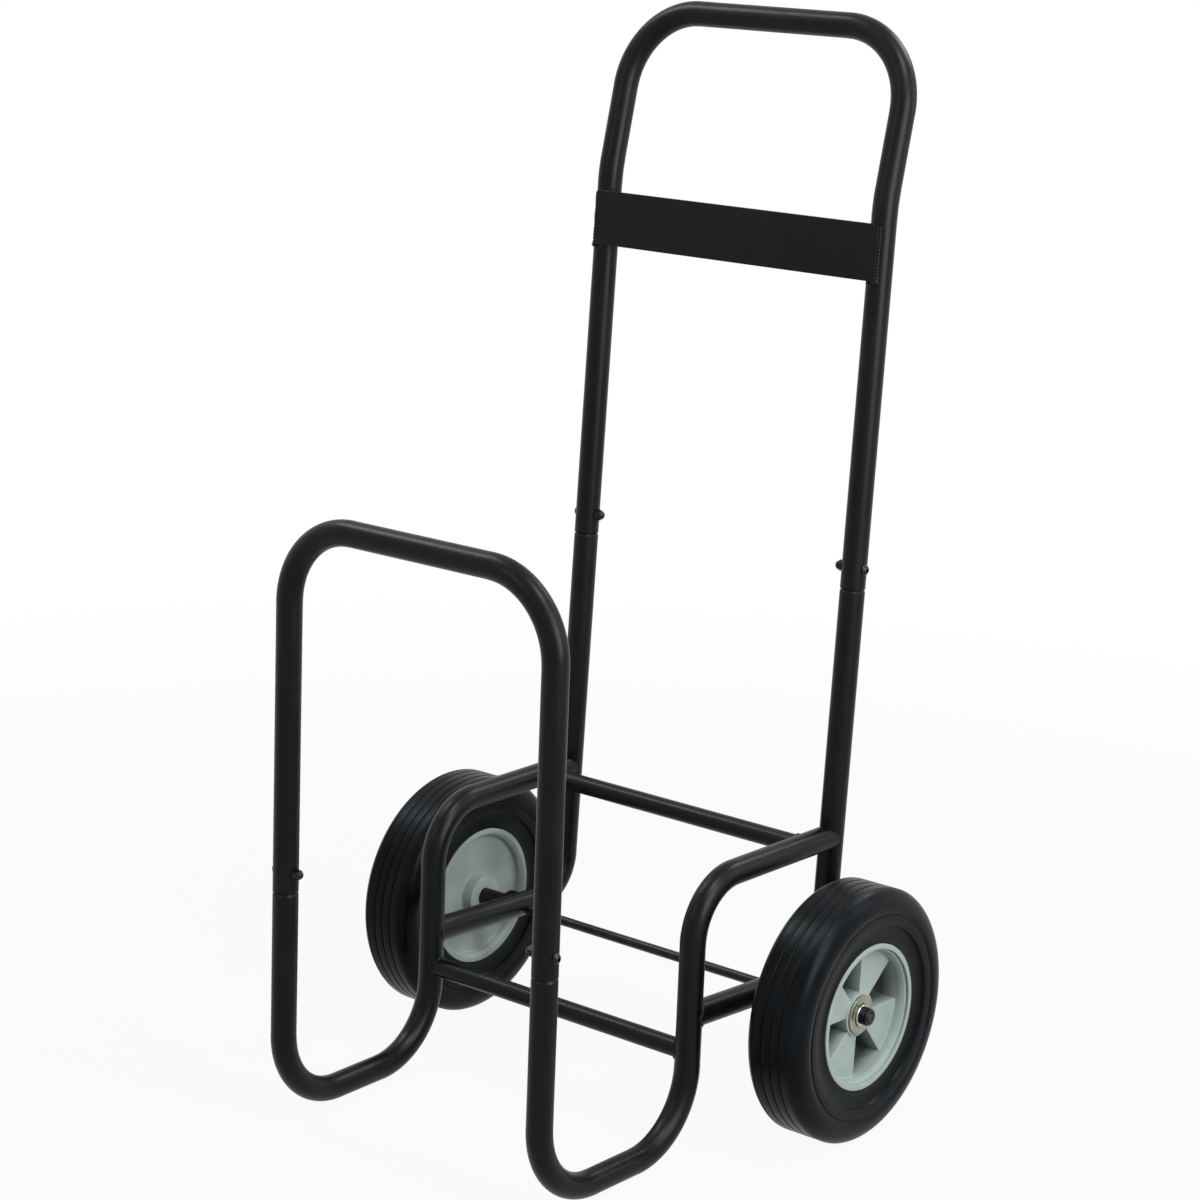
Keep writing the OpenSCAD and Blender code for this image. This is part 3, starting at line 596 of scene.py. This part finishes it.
# what sits on the axle's ends, outwards from the hubs, in millimetres
endShape = {
    "bore": 5.05, "columns": 96, "crisp": 0.3, "sharp": 35,
    "washerThick": 2.0, "washerEdge": 0.45, "washerBore": 0.4, "washerSteps": 5,
    "ringRadius": 12.4, "ringHalf": 0.9, "ringHeight": 0.5, "ringEase": 0.6,
    "lockEdge": 1.15, "lockBore": 0.6, "lockSteps": 8,
    "flats": 17.0, "hexHeight": 5.0, "chamfer": 1.2, "hexEase": 0.4, "nutSteps": 6,
    "collarInset": 0.3, "waist": 0.9, "waistEase": 0.35, "flareEase": 0.5, "collarRound": 1.1,
    "recessRadius": 6.3, "recessDepth": 0.9, "recessSlope": 0.4, "recessEase": 0.35,
}


# a closed outline of (radius, height) turned round an end of the axle; where flats are given, the
# radius is cut down to a hexagon of that width
def turnEnd(outline, base, side, flats=None):
    angle = fullTurn(endShape["columns"])
    radius = np.repeat(outline[:, :1] * mm, angle.size, 1)
    if flats:
        fromFlat = (angle - np.pi / 6) % (np.pi / 3) - np.pi / 6
        radius = np.minimum(radius, flats * mm / 2 / np.cos(fromFlat))
    return onWheel(radius, base - wheelX + outline[:, 1:] * mm, angle, side)


# the flat washer has a pressed ring, the washer under the nut is rounded over, and the nut is a
# chamfered hexagon, a waist and a round collar with a recess for the axle's end
def makeAxleEnds():
    e = endShape
    bore, crisp, face, ringR, ringHalf = (
        e[k] for k in ("bore", "crisp", "washerThick", "ringRadius", "ringHalf"))
    boxes = [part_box(name) for name in ("outer_washers", "lock_washers", "axle_nuts")]
    washerOut, lockOut, nutOut = (high[0] for low, high in boxes)
    washerR, lockR, _ = ((high[2] - low[2]) / 2 / mm for low, high in boxes)
    lockThick = (lockOut - washerOut) / mm
    nutThick = (nutOut - lockOut) / mm
    cornerR = e["flats"] / 2 / math.cos(math.pi / 6)
    shoulderR = cornerR - e["chamfer"]
    collarR = e["flats"] / 2 - e["collarInset"]
    floor = nutThick - e["recessDepth"]
    hexTop, hexEase = e["hexHeight"], e["hexEase"]
    washer = easedOutline([
        (bore, 0, crisp), (washerR, 0, e["washerEdge"]), (washerR, face, e["washerEdge"]),
        (ringR + ringHalf, face, e["ringEase"]), (ringR, face + e["ringHeight"], e["ringEase"]),
        (ringR - ringHalf, face, e["ringEase"]), (bore, face, e["washerBore"])], e["washerSteps"])
    lock = easedOutline([
        (bore, 0, crisp), (lockR, 0, e["lockEdge"]), (lockR, lockThick, e["lockEdge"]),
        (bore, lockThick, e["lockBore"])], e["lockSteps"])
    nut = easedOutline([
        (bore, 0, crisp), (shoulderR, 0, hexEase), (cornerR, e["chamfer"] / 2, hexEase),
        (cornerR, hexTop - e["chamfer"] / 2, hexEase), (shoulderR, hexTop, hexEase),
        (collarR - e["waist"], hexTop, e["waistEase"]),
        (collarR, hexTop + e["waist"], e["flareEase"]), (collarR, nutThick, e["collarRound"]),
        (e["recessRadius"], nutThick, e["recessEase"]),
        (e["recessRadius"] - e["recessSlope"], floor, crisp), (bore, floor, crisp)], e["nutSteps"])
    for name, node, outline, base, slot, flats in (
            ("flatWashers", "outer_washers", washer, washerOut - face * mm, "yellow_zinc", None),
            ("roundedWashers", "lock_washers", lock, washerOut, "bright_zinc", None),
            ("axleNuts", "axle_nuts", nut, lockOut, "black_steel", e["flats"])):
        grids = [turnEnd(outline, base, side, flats) for side in (-1, 1)]
        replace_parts(gridsToPiece(name, grids, slot, "frame", sharpAngle=e["sharp"]), node)


makeAxleEnds()
print("washers and nuts made")


# sizes in millimetres, and how far the strip leans back in degrees
plateShape = {"thick": 2.5, "height": 55.0, "lean": 2.7, "corner": 2.5, "ease": 0.6,
              "steps": 6, "stations": 40, "sharp": 50}


# the strip's own axes: up along its face, and outwards from it, turned back by its lean
def plateAxes():
    lean = math.radians(plateShape["lean"])
    return (np.array([0, math.sin(lean), math.cos(lean)]),
            np.array([0, -math.cos(lean), math.sin(lean)]))


# how far an edge turns in at a distance from the end, along a quarter circle of a given radius
def turnedIn(radius, fromEnd):
    return radius - np.sqrt(radius ** 2 - np.clip(radius - fromEnd, 0, None) ** 2)


# the strip's section is a rectangle with eased corners, carried along the handle: it gets lower
# where the strip's corners turn in and thinner where its end edges are eased
def makePlate():
    p = plateShape
    low, high = (np.array(c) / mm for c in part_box("handle_plate"))
    middle = (low + high) / 2
    reach = high[0]
    up, out = plateAxes()
    turn = np.linspace(0, np.pi / 2, p["steps"])
    easeInset = p["ease"] * (1 - np.cos(turn))
    cornerInset = p["corner"] * (1 - np.cos(turn[2:]))  # its first two would crowd the ease's
    inset = np.unique(np.concatenate([easeInset, cornerInset]))
    straight = reach - 2 * p["corner"]
    station = np.concatenate([
        -reach + inset, np.linspace(-straight, straight, p["stations"]), reach - inset[::-1]])
    fromEnd = reach - np.abs(station)
    halfUp = p["height"] / 2 - turnedIn(p["corner"], fromEnd) - p["ease"]
    halfOut = p["thick"] / 2 - turnedIn(p["ease"], fromEnd) - p["ease"]
    quarters = (turn[None, :] + np.pi / 2 * np.arange(4)[:, None])[None]
    sign = np.array([(1, 1), (-1, 1), (-1, -1), (1, -1)])[None, :, None]
    across, through = (
        sign[..., k] * half[:, None, None] + p["ease"] * wave(quarters)
        for k, half, wave in ((0, halfUp, np.cos), (1, halfOut, np.sin)))
    across, through = (part.reshape(len(station), -1, 1) for part in (across, through))
    grid = middle + station[:, None, None] * np.array([1, 0, 0]) + across * up + through * out
    return gridsToPiece("handleStrip", [grid * mm], "powder_coat", "frame",
                        closedRows=False, sharpAngle=p["sharp"])


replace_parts(makePlate(), "handle_plate")
print("handle strip made")


# in millimetres and degrees: a bead and its ripples, the tubes that it joins, and the strip's
# beads, from its end, from the post and up from its middle
weldShape = {
    "radius": 1.5, "ripple": 0.13, "uneven": 0.10, "pitch": 3.4, "section": 12, "stations": 132,
    "sharp": 60, "tubeR": 12.5, "bendSwell": 0.1, "coped": 0.05, "lean": 2.7, "armRise": 4.0,
    "endPast": 0.4, "endFromPost": 12.5, "endBead": 0.3, "backInside": 5.3, "backFromPost": 12.4,
    "stripGap": 0.3, "stripTop": 26.0, "stripBottom": -31.0,
    "blob": 0.75, "blobWide": 2.6, "blobUp": 2.5,
    "phaseStep": 1.7, "endPhase": 0.8, "backPhase": 2.1, "leastEnd": 0.03,
}


# a node's middle, in millimetres
def middleOf(node):
    low, high = (np.array(c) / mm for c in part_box(node))
    return (low + high) / 2


# the right side's lines, found from the frame: the rear post leans through its joint's bolt, the
# lower tubes toe out from the front legs to the post at the shelf, and the arm, square to the
# post, meets it where both lines cross
def sideLines():
    w = weldShape
    lean = math.tan(math.radians(w["lean"]))
    bendR = w["tubeR"] + w["bendSwell"]
    frontX, postX = (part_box(node)[1][0] / mm - bendR for node in ("front_hoop", "handle_hoop"))
    frontY = middleOf("front_hoop")[1]
    joint, baseBar, shelfBar = (
        middleOf(node) for node in ("rear_joint_bolts", "base_cross_bar", "shelf_cross_bar"))
    postAtShelf = joint[1] + (shelfBar[2] - joint[2]) * lean
    toe = math.atan((postX - frontX) / (postAtShelf - frontY))
    armZ = axisZ / mm + w["armRise"] + axisY / mm * lean
    footY = (joint[1] + (armZ - joint[2]) * lean) / (1 + lean ** 2)
    foot = np.array([postX, footY, armZ - footY * lean])
    upright = np.array([frontX + (baseBar[1] - frontY) * math.tan(toe), baseBar[1], 0])
    return toe, foot, upright, baseBar, shelfBar


# every line of the bar's skin is followed along the bar to the nearer side of the tube: the lower
# root of the quadratic that sets its distance from the tube's axis to the tube's radius
def jointLine(start, along, barR, tubeAt, tubeAlong, tubeR):
    along, tubeAlong = (np.array(v) / np.linalg.norm(v) for v in (along, tubeAlong))
    first = np.cross(along, tubeAlong)
    first /= np.linalg.norm(first)
    second = np.cross(along, first)
    turn = fullTurn(weldShape["stations"]).T
    outward = first * np.cos(turn) + second * np.sin(turn)
    skin = start + barR * outward
    square = np.eye(3) - np.outer(tubeAlong, tubeAlong)
    off, step = (skin - tubeAt) @ square, along @ square
    a, b, c = step @ step, off @ step, (off ** 2).sum(1) - tubeR ** 2
    reach = (-b - np.sqrt(np.maximum(b ** 2 - a * c, 0))) / a
    return skin + reach[:, None] * along, outward


# round each station of the line stands a circle, square to it, whose radius ripples along the
# line and dies away at open ends
def beadGrid(line, outward, closed, phase, extra=0.0):
    w = weldShape
    ahead = np.roll(line, -1, 0) - line
    tangent = ahead + np.roll(ahead, 1, 0) if closed else np.gradient(line, axis=0)
    tangent /= np.linalg.norm(tangent, axis=1, keepdims=True)
    first = outward - tangent * (outward * tangent).sum(1, keepdims=True)
    first /= np.linalg.norm(first, axis=1, keepdims=True)
    second = np.cross(tangent, first)
    steps = np.linalg.norm(ahead, axis=1)
    total = steps.sum() if closed else steps[:-1].sum()
    run = np.cumsum(steps) - steps
    share = 2 * np.pi * run / total
    radius = w["radius"] * (1 + w["ripple"] * np.sin(share * round(total / w["pitch"]) + phase)
                            + w["uneven"] * np.sin(3 * share + 2 * phase) + extra)
    if not closed:
        fromEnd = np.clip(np.minimum(run, total - run) / w["radius"], w["leastEnd"], 1)
        radius *= np.sqrt(1 - (1 - fromEnd) ** 2)
    turn = fullTurn(w["section"])[..., None]
    around = first[:, None] * np.cos(turn) + second[:, None] * np.sin(turn)
    return (line[:, None] + around * radius[:, None, None]) * mm


# beads where the arms and bars meet the uprights, and where the shelf's bar meets its tubes
def makeTubeWelds():
    w = weldShape
    toe, foot, upright, baseBar, shelfBar = sideLines()
    barR = (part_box("base_cross_bar")[1][2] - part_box("base_cross_bar")[0][2]) / 2 / mm
    lean = math.radians(w["lean"])
    grids = []
    for s in (-1, 1):
        mirror = np.array([s, 1, 1])
        arm = mirror * (-math.tan(toe), -math.cos(lean), math.sin(lean))
        shelfTube = mirror * (upright + (0, 0, shelfBar[2]))
        seams = [
            (foot * mirror, arm, w["tubeR"] - w["coped"], upright * mirror, (0, 0, 1)),
            (baseBar, (s, 0, 0), barR, upright * mirror, (0, 0, 1)),
            (shelfBar, (s, 0, 0), barR, shelfTube, (s * math.sin(toe), math.cos(toe), 0)),
        ]
        for k, seam in enumerate(seams):
            line, outward = jointLine(*seam, w["tubeR"])
            grids.append(beadGrid(line, outward, True, w["phaseStep"] * k + s))
    return gridsToPiece("tubeWelds", grids, "powder_coat", "frame", sharpAngle=w["sharp"])


# straight beads down the strip's ends and behind it, with a blob where each end bead ran out
def makeStripWelds():
    w = weldShape
    middle = middleOf("handle_plate")
    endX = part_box("handle_plate")[1][0] / mm + w["endPast"]
    backX = sideLines()[1][0] - w["backInside"]
    up, out = plateAxes()
    post = plateShape["thick"] / 2 + w["tubeR"] + w["stripGap"]
    height = np.linspace(w["stripTop"], w["stripBottom"], w["stations"])
    blob = w["blob"] * np.exp(-((height - w["stripBottom"] - w["blobUp"]) / w["blobWide"]) ** 2)
    grids = []
    for s in (-1, 1):
        for x, fromPost, extra, phase in (
                (endX, w["endFromPost"], w["endBead"] + blob, w["endPhase"]),
                (backX, w["backFromPost"], 0.0, w["backPhase"])):
            line = middle + (s * x, 0, 0) + height[:, None] * up + (fromPost - post) * out
            outward = np.tile(out, (len(line), 1))
            grids.append(beadGrid(line, outward, False, phase + s, extra))
    return gridsToPiece("stripWelds", grids, "powder_coat", "frame",
                        closedRows=False, sharpAngle=w["sharp"])


makeTubeWelds()
makeStripWelds()
print("welds made")


# in metres; a glow is the share of white that the floor shows, near the cart and far from it
studio = {
    "floorHalf": 30.0, "floorDrop": 0.0004, "floorColour": (0.4, 0.4, 0.4, 1), "ambient": 0.02,
    "glowNear": 0.93, "glowFar": 1.0, "nearTo": 0.6, "farFrom": 2.4,
}

# each lamp stands at an azimuth and elevation in degrees and a distance in metres from the cart's
# middle, and faces it
lamps = {
    "sideStrip": {"at": (82, 19, 1.68), "size": (0.95, 1.2), "power": 30},
    "overhead": {"at": (76, 60, 2.8), "size": (0.7, 0.7), "power": 42},
    "frontFill": {"at": (-15, 30, 3.0), "size": (0.6, 1.0), "power": 7},
    "leftKey": {"at": (-78, 52, 2.8), "size": (0.6, 1.2), "power": 32},
    "rearTop": {"at": (165, 42, 2.8), "size": (0.8, 0.8), "power": 26},
    "rearRim": {"at": (132, 20, 2.8), "size": (0.3, 1.4), "power": 10},
}


# camera, glossy and transmission rays see the background as it is; other rays see its light
def backgroundRays(tree):
    rays = addNode(tree, "ShaderNodeLightPath", (-900, 0))
    first = addNode(tree, "ShaderNodeMath", (-650, 100), operation="MAXIMUM")
    both = addNode(tree, "ShaderNodeMath", (-450, 0), operation="MAXIMUM")
    tree.links.new(rays.outputs["Is Camera Ray"], first.inputs[0])
    tree.links.new(rays.outputs["Is Glossy Ray"], first.inputs[1])
    tree.links.new(first.outputs[0], both.inputs[0])
    tree.links.new(rays.outputs["Is Transmission Ray"], both.inputs[1])
    return both.outputs[0]


# the floor glows white for those rays, wholly so away from the cart, and takes its shadow close by
def makeFloor():
    square = np.array([(-1, -1, 0), (1, -1, 0), (1, 1, 0), (-1, 1, 0)]) * studio["floorHalf"]
    corners = square - (0, 0, studio["floorDrop"])
    mesh = bpy.data.meshes.new("studioFloor")
    mesh.from_pydata(corners.tolist(), [], [(0, 1, 2, 3)])
    floor = bpy.data.objects.new("studioFloor", mesh)
    bpy.context.scene.collection.objects.link(floor)
    material = bpy.data.materials.new("studioFloor")
    material.use_nodes = True
    tree = material.node_tree
    tree.nodes.clear()
    lit = addNode(tree, "ShaderNodeBsdfDiffuse", (-200, 100), {"Color": studio["floorColour"]})
    glow = addNode(tree, "ShaderNodeEmission", (-200, -100))
    where = addNode(tree, "ShaderNodeTexCoord", (-900, 400))
    away = addNode(tree, "ShaderNodeVectorMath", (-700, 400), operation="LENGTH")
    tree.links.new(where.outputs["Object"], away.inputs[0])
    reach = addNode(tree, "ShaderNodeMapRange", (-500, 400), {
        "From Min": studio["nearTo"], "From Max": studio["farFrom"],
        "To Min": studio["glowNear"], "To Max": studio["glowFar"]}, interpolation_type="SMOOTHSTEP")
    tree.links.new(away.outputs["Value"], reach.inputs["Value"])
    share = addNode(tree, "ShaderNodeMath", (-200, 300), operation="MULTIPLY")
    tree.links.new(backgroundRays(tree), share.inputs[0])
    tree.links.new(reach.outputs["Result"], share.inputs[1])
    mixed = addNode(tree, "ShaderNodeMixShader", (100, 0))
    leave = addNode(tree, "ShaderNodeOutputMaterial", (300, 0))
    tree.links.new(share.outputs[0], mixed.inputs[0])
    tree.links.new(lit.outputs[0], mixed.inputs[1])
    tree.links.new(glow.outputs[0], mixed.inputs[2])
    tree.links.new(mixed.outputs[0], leave.inputs["Surface"])
    mesh.materials.append(material)


# the world is white to those rays and lights the cart at its ambient level
def makeWorld():
    world = bpy.data.worlds.new("studioWorld")
    bpy.context.scene.world = world
    world.use_nodes = True
    tree = world.node_tree
    background = tree.nodes["Background"]
    background.inputs["Color"].default_value = (1, 1, 1, 1)
    strength = spread(tree, backgroundRays(tree), studio["ambient"], 1.0, (-200, 0))
    tree.links.new(strength, background.inputs["Strength"])


# an area lamp backs away from the cart's middle, and its tilt and turn point it back
def makeLamps():
    middle = np.mean(cadBounds, axis=0)
    for name, lamp in lamps.items():
        azimuth, elevation = (math.radians(angle) for angle in lamp["at"][:2])
        light = bpy.data.lights.new(name, "AREA")
        light.shape = "RECTANGLE"
        light.size, light.size_y = lamp["size"]
        light.energy = lamp["power"]
        holder = bpy.data.objects.new(name, light)
        bpy.context.scene.collection.objects.link(holder)
        holder.location = (middle + directionTo(azimuth, elevation) * lamp["at"][2]).tolist()
        holder.rotation_euler = (math.pi / 2 - elevation, 0, azimuth)


makeFloor()
makeWorld()
makeLamps()
bpy.context.scene.view_settings.view_transform = "Standard"
print("studio set:", len(lamps), "lamps")
